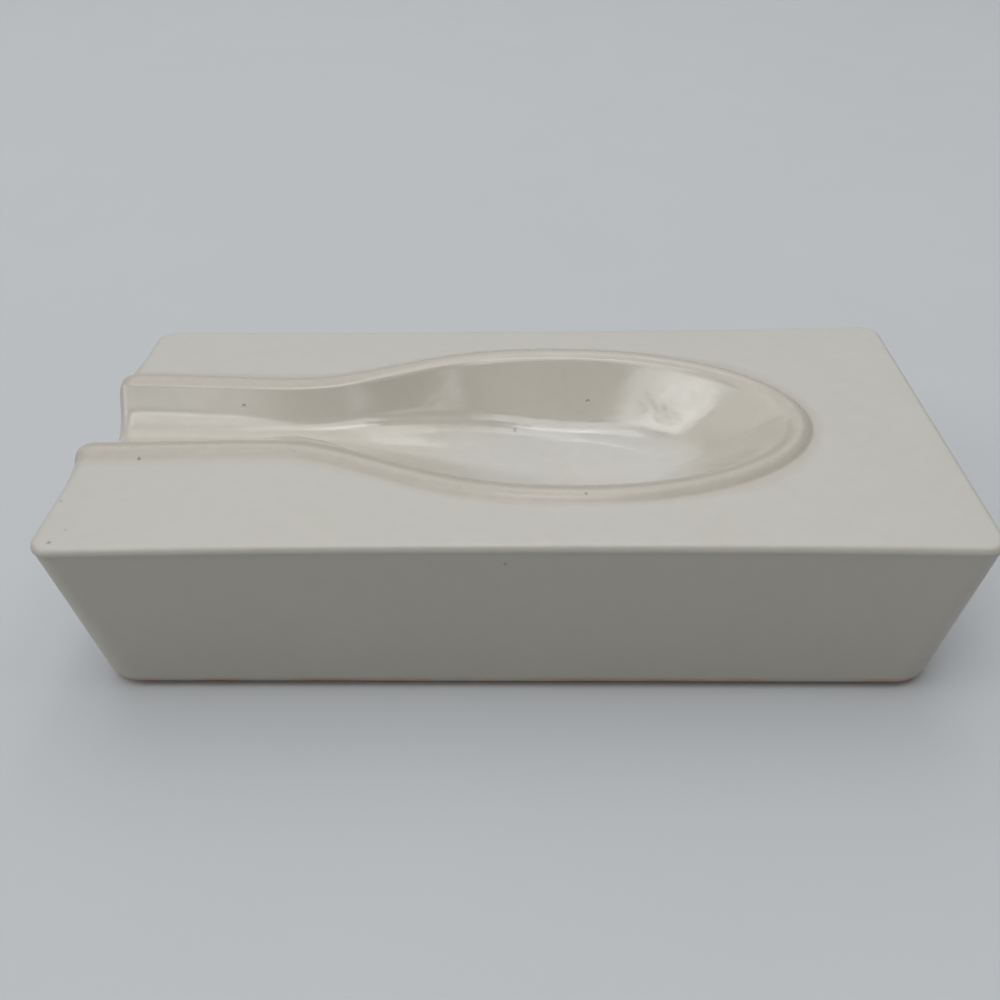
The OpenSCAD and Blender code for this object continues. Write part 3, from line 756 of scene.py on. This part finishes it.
# Flat panels of a soft ceiling: middle, size, level, turn in degrees, and drop below the ceiling
PANELS = {
    "back_panel": ((0.0, 2.15), (4.4, 4.1), 0.84, 0, 0.0),
    "far_panel": ((0.0, 4.66), (4.4, 0.9), 0.52, 0, 0.0),
    "back_strip": ((0.3, 0.7), (0.55, 1.15), 1.7, 0, 0.03),
    "back_strip_end": ((0.18, 1.85), (0.3, 1.1), 2.0, 0, 0.03),
    "back_left_panel": ((-0.9, 1.15), (1.8, 2.0), 0.45, 0, 0.03),
    "side_window": ((-1.4, -0.78), (2.3, 0.36), 3.6, 119, 0.0),
    "side_window_core": ((-1.52, -0.72), (1.3, 0.2), 2.6, 118, 0.03),
    "side_window_foot": ((-0.88, -1.02), (0.32, 0.55), 3.0, 0, 0.03),
    "side_window_bar": ((-1.08, -0.33), (0.34, 0.84), 1.0, 0, 0.03),
    "middle_window": ((-0.24, -0.27), (1.3, 0.7), 3.6, 0, 0.03),
    "middle_window_core": ((0.1, -0.2), (0.75, 0.3), 2.4, 0, 0.06),
    "middle_strip": ((0.02, -1.0), (1.45, 0.66), 2.8, 0, 0.0),
    "right_panel": ((3.6, 0.6), (2.0, 3.0), 0.6, 0, 0.0),
    "left_panel": ((-4.4, -1.3), (3.0, 2.4), 2.6, 0, 0.0),
    "right_window": ((1.5, -0.45), (1.2, 0.6), 2.3, 0, 0.0),
    "front_left_panel": ((-2.22, -2.45), (1.3, 1.1), 2.7, 0, 0.0),
    "front_left_edge": ((-1.38, -2.45), (0.38, 1.1), 1.5, 0, 0.0),
    "front_panel": ((-0.15, -2.45), (2.0, 1.8), 0.6, 0, 0.0),
    "front_right_strip": ((1.1, -1.55), (0.2, 0.35), 1.9, 0, 0.0),
    "front_right_panel": ((1.05, -2.5), (0.6, 0.45), 1.6, 0, 0.0)}
# The photograph's view: the camera's place in millimetres from the middle of the plate, its pitch, yaw and
# roll in degrees, and a focal length as long as the picture is wide
CAMERA_X, CAMERA_Y, CAMERA_RISE = 3.5, -215.0, 133.3
CAMERA_TURN = (36.31, -1.96, -1.33)
PICTURE_W = FOCAL_LENGTH = 36
CLIP_START = 0.01


def add_floor():
    bpy.ops.mesh.primitive_plane_add(size=FLOOR_SIZE, location=(0, 0, 0))
    floor = bpy.context.object
    floor.name = "floor"
    floor.data.materials.append(floor_material(FLOOR))


def add_panel(name, middle, size, level, turn, below):
    """A rectangular area lamp that faces down and is as bright as its level."""
    data = bpy.data.lights.new(name, "AREA")
    data.shape = "RECTANGLE"
    data.size, data.size_y = size
    data.energy = level * math.pi * size[0] * size[1]
    lamp = bpy.data.objects.new(name, data)
    bpy.context.scene.collection.objects.link(lamp)
    lamp.location = (*middle, CEILING_H - below)
    lamp.rotation_euler = (0, 0, math.radians(turn))


def add_world():
    """A dim, even light from all round, and a pale colour where the camera, gloss or glass sees it."""
    world = bpy.data.worlds.new("studio")
    world.use_nodes = True
    tree = world.node_tree
    path = tree.nodes.new("ShaderNodeLightPath")
    is_seen = path.outputs["Is Camera Ray"]
    for kind in ("Is Glossy Ray", "Is Transmission Ray"):
        either = tree.nodes.new("ShaderNodeMath")
        either.operation = "MAXIMUM"
        tree.links.new(is_seen, either.inputs[0])
        tree.links.new(path.outputs[kind], either.inputs[1])
        is_seen = either.outputs[0]
    choice = tree.nodes.new("ShaderNodeMix")
    choice.data_type = "RGBA"
    tree.links.new(is_seen, choice.inputs["Factor"])
    for key, colour in (("A", WORLD_LIGHT), ("B", WORLD_SEEN)):
        colour_socket(choice.inputs, key).default_value = (*colour, 1)
    background = tree.nodes["Background"]
    tree.links.new(colour_socket(choice.outputs), background.inputs["Color"])
    background.inputs["Strength"].default_value = 1.0
    bpy.context.scene.world = world


def add_camera():
    pitch, yaw, roll = (math.radians(v) for v in CAMERA_TURN)
    ahead = Vector((math.sin(yaw) * math.cos(pitch), math.cos(yaw) * math.cos(pitch), -math.sin(pitch)))
    right = Vector((math.cos(yaw), -math.sin(yaw), 0))
    up = right.cross(ahead)
    right, up = right * math.cos(roll) + up * math.sin(roll), up * math.cos(roll) - right * math.sin(roll)
    data = bpy.data.cameras.new("camera")
    data.sensor_width = PICTURE_W
    data.lens = FOCAL_LENGTH
    data.clip_start = CLIP_START
    camera = bpy.data.objects.new("camera", data)
    bpy.context.scene.collection.objects.link(camera)
    camera.matrix_world = Matrix((right, up, -ahead)).transposed().to_4x4()
    camera.location = Vector((CAMERA_X + MID_SHIFT, CAMERA_Y, CAMERA_RISE + PLATE_H)) * MM
    bpy.context.scene.camera = camera


# The scene
recess, outside = build_glaze()
clay = build_clay()
recess.data.materials.append(glaze_material("gloss_ivory_glaze", CREAM, DEEP_CREAM, RECESS_BLEND_Z, POOLED))
outside.data.materials.append(glaze_material("satin_ivory_glaze", IVORY, SIDE_IVORY, SIDE_BLEND_Z, CLOUD))
clay.data.materials.append(clay_material())
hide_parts("recess_glaze")
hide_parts("outer_glaze")
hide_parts("clay_body")

add_floor()
add_world()
for panel_name, values in PANELS.items():
    add_panel(panel_name, *values)
add_camera()
bpy.context.scene.view_settings.view_transform = "Standard"
